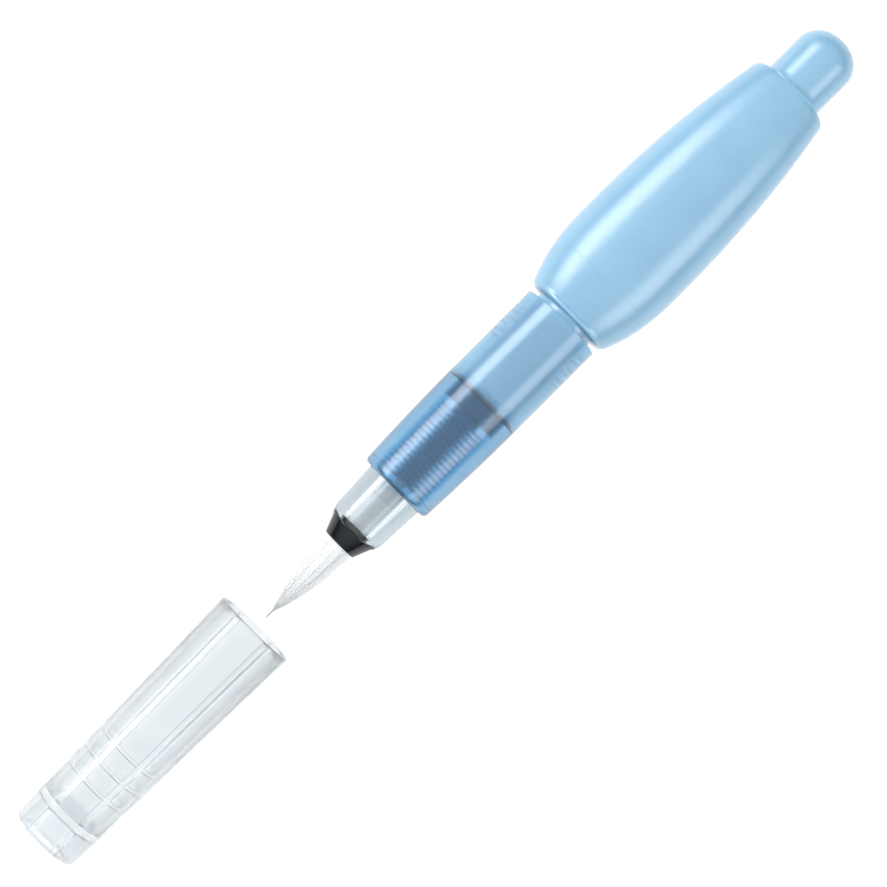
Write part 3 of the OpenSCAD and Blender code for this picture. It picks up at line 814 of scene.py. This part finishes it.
# ---- Cap ----------------------------------------------------------------------------
# The cap is a clear, slightly tapering tube with a floor near its closed end. Ribs along
# its bore grip the nose, low rings stiffen it, and its end beyond the floor is hollow.
cap_end, cap_mouth = span("cap")
cap_d = (cap_high.y - cap_low.y) / MM
cap_bore_d = 12.0
cap_taper = 2.2
cap_length = cap_mouth - cap_end
cap_recess = 5.1
cap_floor = 1.2
cap_edge_r = 0.9
rib_count = 6
rib_height = 0.6
rib_half_angle = math.asin(0.6 / (cap_bore_d / 2))
ring_count = 3
ring_first = 5.4
ring_pitch = 3.65
ring_width = 0.5
ring_rise = 0.25
floor_front = cap_end + cap_recess + cap_floor


def bore_radius(place):
    """Radius of the cap's bore, which narrows from the mouth to the closed end."""
    return (cap_bore_d - cap_taper * (cap_mouth - place) / cap_length) / 2


end_r = (cap_d - cap_taper) / 2
recess_r = (cap_bore_d - cap_taper) / 2
recess_back = cap_end + cap_recess
bore = [(floor_front, 0.1), (floor_front, recess_r - rib_height - 0.4),
        (floor_front, bore_radius(floor_front) - 0.35),
        (floor_front + 0.1, bore_radius(floor_front) - 0.1),
        (floor_front + 0.35, bore_radius(floor_front))]
for i in range(ring_count):
    start = floor_front + ring_first + i * ring_pitch
    bore += [(start - 0.1, bore_radius(start)), (start, bore_radius(start) - ring_rise),
             (start + ring_width, bore_radius(start) - ring_rise),
             (start + ring_width + 0.1, bore_radius(start))]
bore += [(cap_mouth - 1.5, bore_radius(cap_mouth - 1.5)), (cap_mouth - 0.2, cap_bore_d / 2),
         (cap_mouth, cap_bore_d / 2 + 0.15)]
cap_skin = [(cap_mouth, cap_d / 2 - 0.25), (cap_mouth - 0.08, cap_d / 2 - 0.08),
            (cap_mouth - 0.25, cap_d / 2)]
for k in range(10):
    turn = math.radians(90 * k / 9)
    cap_skin.append((cap_end + cap_edge_r - cap_edge_r * math.sin(turn),
                     end_r - cap_edge_r + cap_edge_r * math.cos(turn)))
recess = [(cap_end, recess_r + 0.15), (cap_end + 0.15, recess_r), (recess_back - 0.35, recess_r),
          (recess_back - 0.1, recess_r - 0.1), (recess_back, recess_r - 0.35),
          (recess_back, recess_r - rib_height - 0.4), (recess_back, 0.1)]
cap_profile = bore + cap_skin + recess
ribbed_from = len(bore) + len(cap_skin) + 1
ribbed_rings = list(range(4, len(bore) - 2)) + [ribbed_from, ribbed_from + 1]


def ribbed(place, radius, angle):
    """Raises the ribs out of the bore and the recess."""
    spacing = 2 * math.pi / rib_count
    off = abs((angle + spacing / 2 + math.pi / 2) % spacing - spacing / 2)
    share = max(0, min(1, (rib_half_angle * 1.08 - off) / (rib_half_angle * 0.16)))
    top = bore_radius(place) - rib_height if place > floor_front else recess_r - rib_height
    if place > cap_mouth - 0.4 or radius < top:
        return radius
    return radius + (top - radius) * share


cap_angles = []
for i in range(rib_count):
    middle = 2 * math.pi * i / rib_count + math.pi / 2
    cap_angles += [middle + rib_half_angle * f for f in (-1.08, -0.92, -0.45, 0, 0.45, 0.92, 1.08)]
    gap = 2 * math.pi / rib_count - rib_half_angle * 2.16
    cap_angles += [middle + rib_half_angle * 1.08 + gap * k / 15 for k in range(1, 15)]
plain = turned_rings(cap_profile, cap_angles)
ribs = turned_rings(cap_profile, cap_angles, ribbed)
rings = [ribs[i] if i in ribbed_rings else plain[i] for i in range(len(cap_profile))]

# Natural polypropylene, moulded in a satin tool: clear but a little milky, with a faint
# blue in its depth. Ribs, rings and floor show through it as soft grey lines.
milky_pp, tree = new_finish("moulded_natural_polypropylene")
coords = add(tree, "ShaderNodeTexCoord", {}, {})
# Flow marks from moulding, about 5 mm long
flow = add(tree, "ShaderNodeTexNoise", {}, {
    "Vector": coords.outputs["Object"], "Scale": 1 / (5 * MM), "Detail": 2.0})
gloss = add(tree, "ShaderNodeMapRange", {}, {
    "Value": flow.outputs["Fac"], "To Min": 0.15, "To Max": 0.24})
tone = add(tree, "ShaderNodeMix", {"data_type": "RGBA"}, {
    "Factor": flow.outputs["Fac"], "A": linear("#F3F7F9"), "B": linear("#FAFCFD")})
waves = add(tree, "ShaderNodeBump", {}, {
    "Height": flow.outputs["Fac"], "Strength": 0.1, "Distance": 0.05 * MM})
milky = add(tree, "ShaderNodeBsdfPrincipled", {}, {
    "Base Color": tone.outputs["Result"], "Roughness": gloss.outputs["Result"], "IOR": 1.49,
    "Normal": waves.outputs["Normal"], "Transmission Weight": 0.87})
depth = add(tree, "ShaderNodeVolumeAbsorption", {}, {
    "Color": linear("#D3DFE8"), "Density": 14.0})
add(tree, "ShaderNodeOutputMaterial", {}, {
    "Surface": milky.outputs["BSDF"], "Volume": depth.outputs["Volume"]})
points, faces = skin(rings, False)
add_piece("clear_cap", points, faces, milky_pp, "cap_body", ["cap"])
